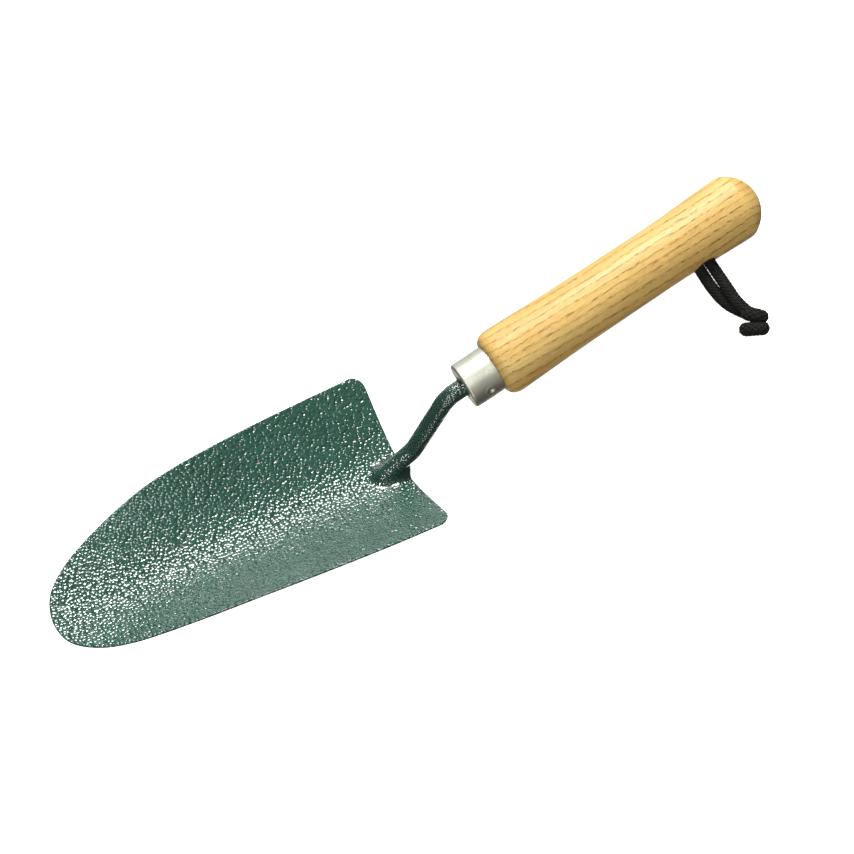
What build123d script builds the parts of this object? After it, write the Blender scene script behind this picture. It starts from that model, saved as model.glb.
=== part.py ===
from build123d import *
import math
import os

# Hand transplanter: a deep, narrow steel trowel blade on a cranked round bar, a
# steel ferrule and a turned ash handle with a cord threaded through its butt.
#
# Working frame ("handle frame"): the handle's axis is X, the ferrule's rear end
# (where the wood starts) is x = 0, the butt is at +X, the blade's tip at -X, and
# the blade's hollow side faces +Z. place() then lays the tool down on its heel
# and its butt, with the floor at z = 0.

# ---------------------------------------------------------------- dimensions (mm)
# blade, measured in its own frame: u runs forward along the channel's bottom from
# the rear edge, y is sideways, h is square to the channel's bottom
SHEET = 1.5                 # sheet thickness
BLADE_LEN = 151.2           # rear edge to tip, along the channel
BLADE_PITCH = 20.78         # channel's bottom against the handle's axis, degrees
ROOT_X, ROOT_Z = -51.24, -29.76   # channel's bottom at the rear edge, handle frame
CHANNEL_B = 15.4            # sets how round the channel's bottom is
REAR_SWEEP = 0.6            # the rear corners stand this much behind the middle
CORNER_R = 5.6              # rear corners
# the sheet isn't cut quite square: its rear corner on the -Y side sits this much
# further forward and further in, and this fades out towards the tip
NEAR_FORWARD, NEAR_IN, NEAR_FADE = 1.7, 1.4, 70.0
# half width of the outline at u
HALF_W = [(0.0, 40.49), (11.0, 39.82), (19.1, 39.3), (27.1, 38.79), (34.6, 38.24), (42.1, 37.69),
          (50.2, 37.05), (57.2, 36.45), (64.2, 35.81), (72.3, 35.06), (79.2, 34.3), (86.3, 33.5),
          (92.3, 32.75), (99.3, 31.7), (106.3, 30.33), (113.4, 28.68), (120.4, 26.8), (126.9, 24.74),
          (131.9, 22.84), (137.0, 20.45), (141.4, 17.65), (145.5, 14.24), (148.7, 10.12), (150.6, 4.97)]
# steepness of the channel's flanks at u
STEEP = [(-12, 0.619), (0, 0.636), (20, 0.661), (42, 0.702), (62, 0.737), (79, 0.761),
         (90, 0.761), (100, 0.740), (110, 0.683), (120, 0.586), (130, 0.465),
         (140, 0.365), (150, 0.312), (166, 0.281)]

# neck: round bar, cranked down from the ferrule to the channel
BAR_D = 7.8
TANG_D = 7.7                # the same bar inside the wood, a drive fit
TANG_END_X = 72.0
CRANK_TOP = (-21.9, 0.0)    # corners of the bar's centreline, (x, z)
CRANK_FOOT = (-43.9, -21.5)
BAR_END = (-60.2, -25.9)
CRANK_TOP_R = 11.0
CRANK_FOOT_R = 9.0
WELD = (7.6, 5.4, 3.4)      # half sizes of the fillet of weld round the bar's foot

# ferrule
FER_D = 19.8
FER_LEN = 14.0
FER_WALL = 0.95
FER_FACE = 1.2
FER_EDGE_R = 0.95
FER_HOLE_D = 9.4
DIMPLE_D = 2.9
DIMPLE_DEPTH = 0.6
DIMPLE_X = -6.2
DIMPLE_ANGLE = 76.0         # from the top, towards -Y, degrees

# handle
SPIGOT_R = FER_D / 2 - FER_WALL - 0.05
SPIGOT_LEN = FER_LEN - FER_FACE - 0.2
TANG_HOLE_D = 7.8
HANDLE_PROFILE = [(7.0, 14.08), (15.2, 13.84), (27.3, 13.47), (39.0, 13.25),
                  (55.0, 13.10), (74.0, 12.98), (86.0, 13.00), (97.0, 13.36),
                  (108.0, 13.86), (116.6, 14.11)]
DOME_C, DOME_R = 112.39, 15.26
HANDLE_END = DOME_C + DOME_R
HOLE_X = 94.66
HOLE_D = 9.4
HOLE_Z = -1.6                # the hole passes a little under the handle's axis
HOLE_DIR = (0.0, -0.951, -0.309)   # towards the mouth that the cord comes out of
MOUTH_D = 11.4

# cord: one soft braided cord, doubled through the hole, its two ends tied in a knot.
# Routes of its two legs, in the part's own frame, from the fold in the hole to the knot
CORD_D = 4.2
CORD_GAP = 4.8              # between the centrelines of the two legs in the hole
FOLD_DEPTH = 22.6           # from the mouth to the start of the fold
LEG_FORE = [(122.75, 7.61, 17.37), (122.45, -1.52, 14.42), (122.01, -11.20, 11.22),
            (121.06, -19.12, 8.30), (121.32, -27.04, 5.20), (123.65, -33.34, 3.20),
            (126.86, -38.98, 2.70)]
LEG_AFT = [(127.52, 7.61, 16.89), (127.22, -1.52, 13.93), (126.86, -11.40, 10.91),
           (125.86, -19.66, 9.90), (124.95, -27.17, 8.60), (124.39, -33.02, 7.70),
           (125.47, -39.42, 6.95)]
# the knot's two lumps: centre, half sizes along, across and up
KNOT_UPPER = ((126.93, -41.05, 5.0), (4.6, 3.9, 4.8))
KNOT_LOWER = ((122.68, -44.78, 4.6), (5.6, 3.5, 4.4))
KNOT_TURN = -42.8           # the lumps' long direction from +X, degrees

# how the tool lies
REST_PITCH = 5.79           # the handle's butt end down, degrees
SHIFT = (30.87, 0.0, 25.81)

# ---------------------------------------------------------------- helpers


def interp(table, x):
    """Natural cubic spline through a table of (x, y)."""
    xs = [p[0] for p in table]
    ys = [p[1] for p in table]
    n = len(xs)
    a = [0.0] * n
    b = [1.0] * n
    c = [0.0] * n
    d = [0.0] * n
    for i in range(1, n - 1):
        h0, h1 = xs[i] - xs[i - 1], xs[i + 1] - xs[i]
        a[i], b[i], c[i] = h0, 2 * (h0 + h1), h1
        d[i] = 6 * ((ys[i + 1] - ys[i]) / h1 - (ys[i] - ys[i - 1]) / h0)
    for i in range(1, n):
        m = a[i] / b[i - 1]
        b[i] -= m * c[i - 1]
        d[i] -= m * d[i - 1]
    k = [0.0] * n
    k[-1] = d[-1] / b[-1]
    for i in range(n - 2, -1, -1):
        k[i] = (d[i] - c[i] * k[i + 1]) / b[i]
    x = min(max(x, xs[0]), xs[-1])
    i = max(j for j in range(n - 1) if xs[j] <= x)
    h = xs[i + 1] - xs[i]
    t1, t0 = (xs[i + 1] - x), (x - xs[i])
    return (k[i] * t1 ** 3 + k[i + 1] * t0 ** 3) / (6 * h) \
        + (ys[i] / h - k[i] * h / 6) * t1 + (ys[i + 1] / h - k[i + 1] * h / 6) * t0


def hollow(u, y):
    """Height of the blade's hollow side over the channel's bottom line."""
    return interp(STEEP, u) * (math.sqrt(y * y + CHANNEL_B ** 2) - CHANNEL_B)


def place(shape):
    """Handle frame to the part's own frame."""
    return Pos(*SHIFT) * Rot(0, REST_PITCH, 0) * shape


def blade_to_handle(shape):
    """Blade frame (x = -u, y, z = h) to the handle frame."""
    return Pos(ROOT_X, 0, ROOT_Z) * Rot(0, BLADE_PITCH, 0) * shape


# ---------------------------------------------------------------- blade
us = [-9 + i * (169.0 / 34) for i in range(35)]
vs = [-48 + i * 4.0 for i in range(25)]
grid = [[Vector(-u, y, hollow(u, y)) for y in vs] for u in us]
skin = Face.make_surface_from_array_of_points(grid, tol=0.005, min_deg=3, max_deg=5)
slab = Solid.thicken(skin, SHEET)
if slab.center().Z > hollow(60, 0) + 30 or slab.bounding_box().min.Z > -0.5:
    slab = Solid.thicken(skin, -SHEET)

W0 = HALF_W[0][1] + 0.1
side = [(-u, w) for u, w in HALF_W]


def near_in(u, w):
    """Half width on the -Y side, from the one on the +Y side."""
    return w * (1 - NEAR_IN / W0 * min(max(1 - u / NEAR_FADE, 0), 1) ** 2)


rear_pts = []
for i in range(-8, 9):
    q = i / 8
    if q < 0:
        rear_pts.append(((REAR_SWEEP - NEAR_FORWARD) * q * q, q * near_in(0, W0)))
    else:
        rear_pts.append((REAR_SWEEP * q * q, q * W0))
rear = Spline(rear_pts)
left = Spline([(REAR_SWEEP, W0)] + side[1:] + [(-BLADE_LEN, 0)],
              tangents=[(-1.0, -0.055), (0, -1)])
right = Spline([rear_pts[0]] + [(x, -near_in(-x, w)) for x, w in side[1:]] + [(-BLADE_LEN, 0)],
               tangents=[(-1.0, 0.015), (0, 1)])
outline = make_face([rear, left, right])
prism = extrude(Pos(0, 0, -6) * outline, 60, dir=(0, 0, 1))
corners = [e for e in prism.edges().filter_by(GeomType.LINE)
           if abs(e.center().Y) > 30 and e.length > 50]
prism = fillet(corners, CORNER_R)
blade_local = slab & prism
blade = blade_to_handle(blade_local)

# everything under the hollow side, to cut the bar's foot and the weld to fit
under = extrude(skin, 30, dir=(0, 0, -1))
under = blade_to_handle(under)

# ---------------------------------------------------------------- neck and tang
path = FilletPolyline((TANG_END_X, 0, 0), (CRANK_TOP[0], 0, CRANK_TOP[1]),
                      (CRANK_FOOT[0], 0, CRANK_FOOT[1]), (BAR_END[0], 0, BAR_END[1]),
                      radius=[CRANK_TOP_R, CRANK_FOOT_R])
bar = sweep(Plane(origin=path @ 0, z_dir=path % 0) * Circle(BAR_D / 2), path=path)
# the part of the bar inside the wood is a hair thinner
collar = Pos(TANG_END_X / 2 - 6, 0, 0) * Rot(0, 90, 0) * (
    Cylinder(BAR_D, TANG_END_X + 12.4) - Cylinder(TANG_D / 2, TANG_END_X + 20))
bar = bar - collar
bar = bar - Pos(TANG_END_X, 0, 0) * Rot(0, 90, 0) * (
    Cylinder(BAR_D, 3) - Cone(TANG_D / 2, TANG_D / 2 - 1.2, 3.01))
neck = bar - under

# ---------------------------------------------------------------- weld
blob = blade_to_handle(Pos(-4.6, 0, 0.4) * scale(Sphere(1.0), by=WELD))
behind = blade_to_handle(Pos(6.2, 0, 5) * Box(10, 40, 40))
weld = blob - under - behind - neck

# ---------------------------------------------------------------- ferrule
r0 = FER_D / 2
ri = r0 - FER_WALL
with BuildPart() as fer:
    with BuildSketch(Plane.XZ):
        with BuildLine():
            Polyline((-FER_LEN, FER_HOLE_D / 2), (-FER_LEN, r0 - FER_EDGE_R))
            RadiusArc((-FER_LEN, r0 - FER_EDGE_R), (-FER_LEN + FER_EDGE_R, r0), FER_EDGE_R)
            Polyline((-FER_LEN + FER_EDGE_R, r0), (-0.3, r0), (0, r0 - 0.3), (0, ri),
                     (-FER_LEN + FER_FACE + 0.6, ri), (-FER_LEN + FER_FACE, ri - 0.6),
                     (-FER_LEN + FER_FACE, FER_HOLE_D / 2), (-FER_LEN, FER_HOLE_D / 2))
        make_face()
    revolve(axis=Axis.X)
ferrule = fer.part
a = math.radians(DIMPLE_ANGLE)
rs = (DIMPLE_D ** 2 / 4 + DIMPLE_DEPTH ** 2) / (2 * DIMPLE_DEPTH)
rc = r0 - DIMPLE_DEPTH + rs
ferrule = ferrule - Pos(DIMPLE_X, -rc * math.sin(a), rc * math.cos(a)) * Sphere(rs)

# ---------------------------------------------------------------- handle
with BuildPart() as han:
    with BuildSketch(Plane.XZ):
        with BuildLine():
            Polyline((-SPIGOT_LEN, 0), (-SPIGOT_LEN, SPIGOT_R - 0.6),
                     (-SPIGOT_LEN + 0.6, SPIGOT_R), (0.0, SPIGOT_R), (0.0, 9.9))
            Spline((0.0, 9.9), (0.75, 12.24), (2.9, 13.64), (7.0, 14.08),
                   tangents=[(0, 1), (1, 0)])
            Spline(HANDLE_PROFILE, tangents=[(1, -0.01), (1, 0.03)])
            d0 = (HANDLE_PROFILE[-1][0], HANDLE_PROFILE[-1][1])
            t = math.atan2(math.sqrt(DOME_R ** 2 - 13.9 ** 2), 13.9)
            d1 = (DOME_C + DOME_R * math.sin(t), 13.9)
            Line(d0, d1)
            m = math.pi / 4 + t / 2
            ThreePointArc(d1, (DOME_C + DOME_R * math.sin(m), DOME_R * math.cos(m)), (HANDLE_END, 0))
            Line((HANDLE_END, 0), (-SPIGOT_LEN, 0))
        make_face()
    revolve(axis=Axis.X)
handle = han.part
handle = handle - Pos((TANG_END_X + 1.0 - SPIGOT_LEN) / 2, 0, 0) * Rot(0, 90, 0) * Cylinder(
    TANG_HOLE_D / 2, TANG_END_X + 1.0 + SPIGOT_LEN)
hole_plane = Plane(origin=(HOLE_X, 0, HOLE_Z), x_dir=(1, 0, 0), z_dir=HOLE_DIR)
handle = handle - hole_plane * Cylinder(HOLE_D / 2, 60)
handle = handle - hole_plane * Pos(0, 0, 12.6) * Cone(HOLE_D / 2 - 0.6, MOUTH_D / 2 + 0.75, 3.2)
handle = handle - hole_plane * Pos(0, 0, -13.2) * Cone(HOLE_D / 2 + 0.35, HOLE_D / 2 - 0.2, 1.0)

# ---------------------------------------------------------------- cord


def tube(name, pts, d):
    """A tube of straight runs joined by tangent arcs, each as large as its runs allow."""
    p = [Vector(*q) for q in pts]
    radii = []
    for i in range(1, len(p) - 1):
        a_, b_ = p[i] - p[i - 1], p[i + 1] - p[i]
        turn = math.radians(a_.get_angle(b_))
        radii.append(0.45 * min(a_.length, b_.length) / math.tan(turn / 2))
    line = FilletPolyline(*pts, radius=radii)
    solid = sweep(Plane(origin=line @ 0, z_dir=line % 0) * Circle(d / 2), path=line)
    print(name, "length", round(line.length, 2), "radii", [round(r, 1) for r in radii],
          "volume ratio", round(solid.volume / (math.pi * d * d / 4 * line.length), 4))
    return solid


leg_fore = tube("leg_fore", LEG_FORE, CORD_D)
leg_aft = tube("leg_aft", LEG_AFT, CORD_D)
# the fold: half a ring that joins the legs' inner ends, just inside the far mouth
f0, f1 = Vector(*LEG_FORE[0]), Vector(*LEG_AFT[0])
fold_mid = (f0 + f1) * 0.5
fold_in = Vector(*LEG_FORE[0]) - Vector(*LEG_FORE[1])
fold_x = (f1 - f0).normalized()
fold_z = (fold_in - fold_x * fold_in.dot(fold_x)).normalized()
fold_plane = Plane(origin=fold_mid, x_dir=fold_x, z_dir=fold_x.cross(fold_z))
half = Pos((f1 - f0).length / 2, 0, 0) * Rot(90, 0, 0) * Circle(CORD_D / 2)
fold = fold_plane * revolve(half, axis=Axis.Z, revolution_arc=180) - leg_fore - leg_aft


def lump(centre, half_sizes):
    return Pos(*centre) * Rot(0, 0, KNOT_TURN) * scale(Sphere(1.0), by=half_sizes)


knot = lump(*KNOT_UPPER) + lump(*KNOT_LOWER)
knot = knot - leg_fore - leg_aft

# ---------------------------------------------------------------- write
pieces = {
    "blade": place(blade),
    "neck_and_tang": place(neck),
    "weld": place(weld),
    "ferrule": place(ferrule),
    "handle": place(handle),
    "cord_leg_fore": leg_fore,
    "cord_leg_aft": leg_aft,
    "cord_fold": fold,
    "cord_knot": knot,
}
os.makedirs("parts", exist_ok=True)
lo = [1e9] * 3
hi = [-1e9] * 3
for name, solid in pieces.items():
    bb = solid.bounding_box()
    if not name.startswith("cord_"):
        for i, (p, q) in enumerate(zip(bb.min, bb.max)):
            lo[i] = min(lo[i], p)
            hi[i] = max(hi[i], q)
    print(name, "solids", len(solid.solids()), "volume", round(solid.volume, 1),
          "box", [round(v, 2) for v in bb.min], [round(v, 2) for v in bb.max], "valid", solid.is_valid)
    export_step(solid, os.path.join("parts", name + ".step"))
print("box without the cord", [round(v, 3) for v in lo], [round(v, 3) for v in hi],
      "shift x by", round(-(lo[0] + hi[0]) / 2, 3), "z by", round(-lo[2], 3))
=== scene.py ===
import math

import bpy
import numpy as np
from mathutils import Matrix, Vector
from mathutils.geometry import delaunay_2d_cdt


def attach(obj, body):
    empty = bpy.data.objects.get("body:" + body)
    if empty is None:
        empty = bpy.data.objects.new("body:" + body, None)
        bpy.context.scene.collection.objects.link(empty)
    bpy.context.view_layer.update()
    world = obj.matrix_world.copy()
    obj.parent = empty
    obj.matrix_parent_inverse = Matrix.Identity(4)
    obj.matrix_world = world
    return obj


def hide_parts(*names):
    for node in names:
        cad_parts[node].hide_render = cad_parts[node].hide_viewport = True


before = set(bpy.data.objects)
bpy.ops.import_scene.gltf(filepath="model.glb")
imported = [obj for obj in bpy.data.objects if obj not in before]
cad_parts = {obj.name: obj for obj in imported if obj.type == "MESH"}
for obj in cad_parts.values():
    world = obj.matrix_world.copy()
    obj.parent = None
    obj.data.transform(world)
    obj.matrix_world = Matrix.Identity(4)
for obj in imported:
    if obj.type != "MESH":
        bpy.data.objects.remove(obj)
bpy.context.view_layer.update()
scene = bpy.context.scene
MM = 0.001

# ------------------------------------------------------------------ dimensions, mm
SHEET = 1.5
BLADE_LEN = 151.2
BLADE_PITCH = math.radians(20.78)
ROOT_X, ROOT_Z = -51.24, -29.76
CHANNEL_B = 15.4
REAR_SWEEP = 0.6
CORNER_R = 5.6
NEAR_FORWARD, NEAR_IN, NEAR_FADE = 1.7, 1.4, 70.0
HALF_W = [(0.0, 40.49), (11.0, 39.82), (19.1, 39.3), (27.1, 38.79), (34.6, 38.24), (42.1, 37.69),
          (50.2, 37.05), (57.2, 36.45), (64.2, 35.81), (72.3, 35.06), (79.2, 34.3), (86.3, 33.5),
          (92.3, 32.75), (99.3, 31.7), (106.3, 30.33), (113.4, 28.68), (120.4, 26.8), (126.9, 24.74),
          (131.9, 22.84), (137.0, 20.45), (141.4, 17.65), (145.5, 14.24), (148.7, 10.12), (150.6, 4.97)]
STEEP = [(-12, 0.619), (0, 0.636), (20, 0.661), (42, 0.702), (62, 0.737), (79, 0.761),
         (90, 0.761), (100, 0.740), (110, 0.683), (120, 0.586), (130, 0.465),
         (140, 0.365), (150, 0.312), (166, 0.281)]
BAR_D = 7.8
TANG_D = 7.7
TANG_END_X = 72.0
CRANK_TOP = (-21.9, 0.0)
CRANK_FOOT = (-43.9, -21.5)
BAR_END = (-60.2, -25.9)
CRANK_TOP_R = 11.0
CRANK_FOOT_R = 9.0
WELD = (7.6, 5.4, 3.4)
FER_D, FER_LEN, FER_WALL, FER_FACE, FER_EDGE_R, FER_HOLE_D = 19.8, 14.0, 0.95, 1.2, 0.95, 9.4
DIMPLE_D, DIMPLE_DEPTH, DIMPLE_X, DIMPLE_ANGLE = 2.9, 0.6, -6.2, 76.0
SPIGOT_R = FER_D / 2 - FER_WALL - 0.05
SPIGOT_LEN = FER_LEN - FER_FACE - 0.2
TANG_HOLE_D = 7.8
HANDLE_PROFILE = [(7.0, 14.08), (15.2, 13.84), (27.3, 13.47), (39.0, 13.25),
                  (55.0, 13.10), (74.0, 12.98), (86.0, 13.00), (97.0, 13.36),
                  (108.0, 13.86), (116.6, 14.11)]
DOME_C, DOME_R = 112.39, 15.26
HANDLE_END = DOME_C + DOME_R
HOLE_X, HOLE_D = 94.66, 9.4
HOLE_Z = -1.6
HOLE_DIR = np.array([0.0, -0.951, -0.309]) / math.hypot(0.951, 0.309)
CORD_D = 4.2
LEG_FORE = [(122.75, 7.61, 17.37), (122.45, -1.52, 14.42), (122.01, -11.20, 11.22),
            (121.06, -19.12, 8.30), (121.32, -27.04, 5.20), (123.65, -33.34, 3.20),
            (126.86, -38.98, 2.70)]
LEG_AFT = [(127.52, 7.61, 16.89), (127.22, -1.52, 13.93), (126.86, -11.40, 10.91),
           (125.86, -19.66, 9.90), (124.95, -27.17, 8.60), (124.39, -33.02, 7.70),
           (125.47, -39.42, 6.95)]
REST_PITCH = math.radians(5.79)
SHIFT = np.array([30.87, 0.0, 25.81])


def turn_y(p, angle):
    """Turns points about Y."""
    c, s = math.cos(angle), math.sin(angle)
    p = np.asarray(p, float)
    return np.stack([p[..., 0] * c + p[..., 2] * s, p[..., 1], -p[..., 0] * s + p[..., 2] * c], -1)


def place(p):
    """Handle frame to the part's own frame."""
    return turn_y(p, REST_PITCH) + SHIFT


def blade_to_handle(p):
    return turn_y(p, BLADE_PITCH) + np.array([ROOT_X, 0.0, ROOT_Z])


def handle_to_blade(p):
    return turn_y(np.asarray(p, float) - np.array([ROOT_X, 0.0, ROOT_Z]), -BLADE_PITCH)


class Curve:
    """Natural cubic spline through (x, y) points, y of any size."""

    def __init__(self, xs, ys):
        self.x, self.y = np.asarray(xs, float), np.asarray(ys, float)
        n, h = len(self.x), np.diff(self.x)
        a = np.eye(n)
        d = np.zeros((n,) + self.y.shape[1:])
        for i in range(1, n - 1):
            a[i, i - 1], a[i, i], a[i, i + 1] = h[i - 1], 2 * (h[i - 1] + h[i]), h[i]
            d[i] = 6 * ((self.y[i + 1] - self.y[i]) / h[i] - (self.y[i] - self.y[i - 1]) / h[i - 1])
        self.k = np.linalg.solve(a, d)

    def __call__(self, x):
        x = np.clip(np.asarray(x, float), self.x[0], self.x[-1])
        i = np.clip(np.searchsorted(self.x, x, side="right") - 1, 0, len(self.x) - 2)
        h = self.x[i + 1] - self.x[i]
        t1, t0 = self.x[i + 1] - x, x - self.x[i]
        if self.y.ndim > 1:
            h, t1, t0 = h[..., None], t1[..., None], t0[..., None]
        k0, k1, y0, y1 = self.k[i], self.k[i + 1], self.y[i], self.y[i + 1]
        return (k0 * t1**3 + k1 * t0**3) / (6 * h) + (y0 / h - k0 * h / 6) * t1 + (y1 / h - k1 * h / 6) * t0


steep = Curve(*zip(*STEEP))


def hollow(u, y):
    """Height of the blade's hollow side over the channel's bottom line."""
    return steep(u) * (np.sqrt(y * y + CHANNEL_B**2) - CHANNEL_B)


def hollow_slope(u, y):
    e = 0.01
    return (hollow(u + e, y) - hollow(u - e, y)) / (2 * e), (hollow(u, y + e) - hollow(u, y - e)) / (2 * e)


# ------------------------------------------------------------------ small helpers
def make(name, verts_mm, faces, material, replaces=(), smooth=True, sharp=None):
    """A mesh piece from points in millimetres in the part's frame."""
    mesh = bpy.data.meshes.new(name)
    mesh.from_pydata((np.asarray(verts_mm, float) * MM).tolist(), [],
                     faces.tolist() if hasattr(faces, "tolist") else faces)
    mesh.validate()
    mesh.update()
    obj = bpy.data.objects.new(name, mesh)
    scene.collection.objects.link(obj)
    finish_piece(obj, material, replaces, smooth, sharp)
    return obj


def finish_piece(obj, material, replaces=(), smooth=True, sharp=None):
    mesh = obj.data
    # nothing stands under the floor
    co = np.empty(len(mesh.vertices) * 3)
    mesh.vertices.foreach_get("co", co)
    co[2::3] = np.maximum(co[2::3], 0.0)
    mesh.vertices.foreach_set("co", co)
    mesh.polygons.foreach_set("use_smooth", np.full(len(mesh.polygons), smooth))
    if sharp is not None:
        mesh.set_sharp_from_angle(angle=math.radians(sharp))
    mesh.materials.clear()
    mesh.materials.append(material)
    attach(obj, "root")
    if replaces:
        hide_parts(*replaces)


def bake_modifiers(obj):
    """The object's mesh with its modifiers made real."""
    dg = bpy.context.evaluated_depsgraph_get()
    dg.update()
    mesh = bpy.data.meshes.new_from_object(obj.evaluated_get(dg), preserve_all_data_layers=True, depsgraph=dg)
    obj.modifiers.clear()
    obj.data = mesh
    return obj


def lathe(profile, around, axis_points=None):
    """A closed profile of (x, r) turned about X: rings of points and quads. Profile ends with r = 0 are poles."""
    verts, faces, rings = [], [], []
    th = np.arange(around) * 2 * math.pi / around
    for x, r in profile:
        if r < 1e-6:
            rings.append([len(verts)])
            verts.append((x, 0.0, 0.0))
        else:
            start = len(verts)
            verts += list(zip(np.full(around, x), r * np.cos(th), r * np.sin(th)))
            rings.append(list(range(start, start + around)))
    for a, b in zip(rings[:-1], rings[1:]):
        for i in range(around):
            j = (i + 1) % around
            if len(a) == 1:
                faces.append((a[0], b[j], b[i]))
            elif len(b) == 1:
                faces.append((a[i], a[j], b[0]))
            else:
                faces.append((a[i], a[j], b[j], b[i]))
    return np.array(verts), faces


def loop_to_start(faces, first, last, around):
    """Closes a lathe whose profile ends where it began."""
    for i in range(around):
        j = (i + 1) % around
        faces.append((last + i, last + j, first + j, first + i))


def resampled(points, step, closed=False):
    p = np.asarray(points, float)
    if closed:
        p = np.vstack([p, p[:1]])
    s = np.concatenate([[0], np.cumsum(np.linalg.norm(np.diff(p, axis=0), axis=1))])
    n = max(2, int(round(s[-1] / step)))
    at = np.linspace(0, s[-1], n + 1)
    out = np.stack([np.interp(at, s, p[:, k]) for k in range(p.shape[1])], 1)
    return out[:-1] if closed else out


# ------------------------------------------------------------------ camera
RIGHT = Vector((0.80507, -0.50997, -0.30297)).normalized()
UP = Vector((0.59194, 0.72375, 0.35468))
UP = (UP - RIGHT * UP.dot(RIGHT)).normalized()
BACK = RIGHT.cross(UP)
cam_data = bpy.data.cameras.new("camera")
cam = bpy.data.objects.new("camera", cam_data)
scene.collection.objects.link(cam)
cam.matrix_world = Matrix.Translation(Vector((13.068, -212.895, 423.101)) * MM) @ Matrix(
    (RIGHT, UP, BACK)).transposed().to_4x4()
cam_data.sensor_width = 36.0
cam_data.lens = 1125.0 / 854.0 * 36.0
cam_data.clip_start, cam_data.clip_end = 0.01, 20.0
scene.camera = cam


# ------------------------------------------------------------------ node helpers
def new_material(name):
    m = bpy.data.materials.new(name)
    m.use_nodes = True
    t = m.node_tree
    t.nodes.clear()
    out = t.nodes.new("ShaderNodeOutputMaterial")
    bsdf = t.nodes.new("ShaderNodeBsdfPrincipled")
    t.links.new(bsdf.outputs["BSDF"], out.inputs["Surface"])
    return m, t, bsdf


def put(t, socket, value):
    """Sets a socket to a number, a colour or a link."""
    if isinstance(value, bpy.types.NodeSocket):
        t.links.new(value, socket)
    elif isinstance(value, (tuple, list)):
        v = list(value)
        if len(v) == 3 and len(socket.default_value) == 4:
            v.append(1.0)
        socket.default_value = v
    else:
        socket.default_value = value


def math_node(t, op, a, b=None, c=None, clamp=False):
    n = t.nodes.new("ShaderNodeMath")
    n.operation, n.use_clamp = op, clamp
    for i, v in enumerate((a, b, c)):
        if v is not None:
            put(t, n.inputs[i], v)
    return n.outputs[0]


def vec_math(t, op, a, b=None, scale=None):
    n = t.nodes.new("ShaderNodeVectorMath")
    n.operation = op
    put(t, n.inputs[0], a)
    if b is not None:
        put(t, n.inputs[1], b)
    if scale is not None:
        put(t, n.inputs["Scale"], scale)
    return n.outputs["Value"] if op in ("LENGTH", "DOT_PRODUCT", "DISTANCE") else n.outputs["Vector"]


def mapping(t, vector, location=(0, 0, 0), rotation=(0, 0, 0), scale=(1, 1, 1)):
    n = t.nodes.new("ShaderNodeMapping")
    put(t, n.inputs["Vector"], vector)
    n.inputs["Location"].default_value = location
    n.inputs["Rotation"].default_value = rotation
    n.inputs["Scale"].default_value = scale
    return n.outputs[0]


def noise(t, vector, scale=5.0, detail=2.0, rough=0.5, distortion=0.0, color=False):
    n = t.nodes.new("ShaderNodeTexNoise")
    n.noise_dimensions = "3D"
    put(t, n.inputs["Vector"], vector)
    n.inputs["Scale"].default_value = scale
    n.inputs["Detail"].default_value = detail
    n.inputs["Roughness"].default_value = rough
    n.inputs["Distortion"].default_value = distortion
    return n.outputs["Color" if color else "Fac"]


def voronoi(t, vector, scale, feature="F1", smoothness=0.5, randomness=1.0, out="Distance"):
    n = t.nodes.new("ShaderNodeTexVoronoi")
    n.voronoi_dimensions = "3D"
    n.feature = feature
    put(t, n.inputs["Vector"], vector)
    n.inputs["Scale"].default_value = scale
    if feature == "SMOOTH_F1":
        n.inputs["Smoothness"].default_value = smoothness
    n.inputs["Randomness"].default_value = randomness
    return n.outputs[out]


def ramp(t, fac, stops, interpolation="LINEAR"):
    n = t.nodes.new("ShaderNodeValToRGB")
    put(t, n.inputs["Fac"], fac)
    r = n.color_ramp
    r.interpolation = interpolation
    while len(r.elements) < len(stops):
        r.elements.new(0.5)
    for e, (at, col) in zip(r.elements, stops):
        e.position = at
        if isinstance(col, (int, float)):
            col = (col, col, col)
        e.color = tuple(col) + (1.0,)
    return n.outputs["Color"]


def mix(t, fac, a, b, mode="MIX"):
    n = t.nodes.new("ShaderNodeMix")
    n.data_type = "RGBA"
    n.blend_type = mode
    put(t, n.inputs["Factor"], fac)
    put(t, n.inputs["A"] if False else n.inputs[6], a)
    put(t, n.inputs[7], b)
    return n.outputs[2]


def map_range(t, value, a, b, c, d, smooth=False):
    n = t.nodes.new("ShaderNodeMapRange")
    n.interpolation_type = "SMOOTHSTEP" if smooth else "LINEAR"
    n.clamp = True
    for i, v in enumerate((value, a, b, c, d)):
        put(t, n.inputs[i], v)
    return n.outputs[0]


def bump(t, height, distance, strength=1.0, normal=None):
    n = t.nodes.new("ShaderNodeBump")
    n.inputs["Strength"].default_value = strength
    n.inputs["Distance"].default_value = distance
    put(t, n.inputs["Height"], height)
    if normal is not None:
        put(t, n.inputs["Normal"], normal)
    return n.outputs["Normal"]


def object_coords(t):
    return t.nodes.new("ShaderNodeTexCoord").outputs["Object"]


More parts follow.
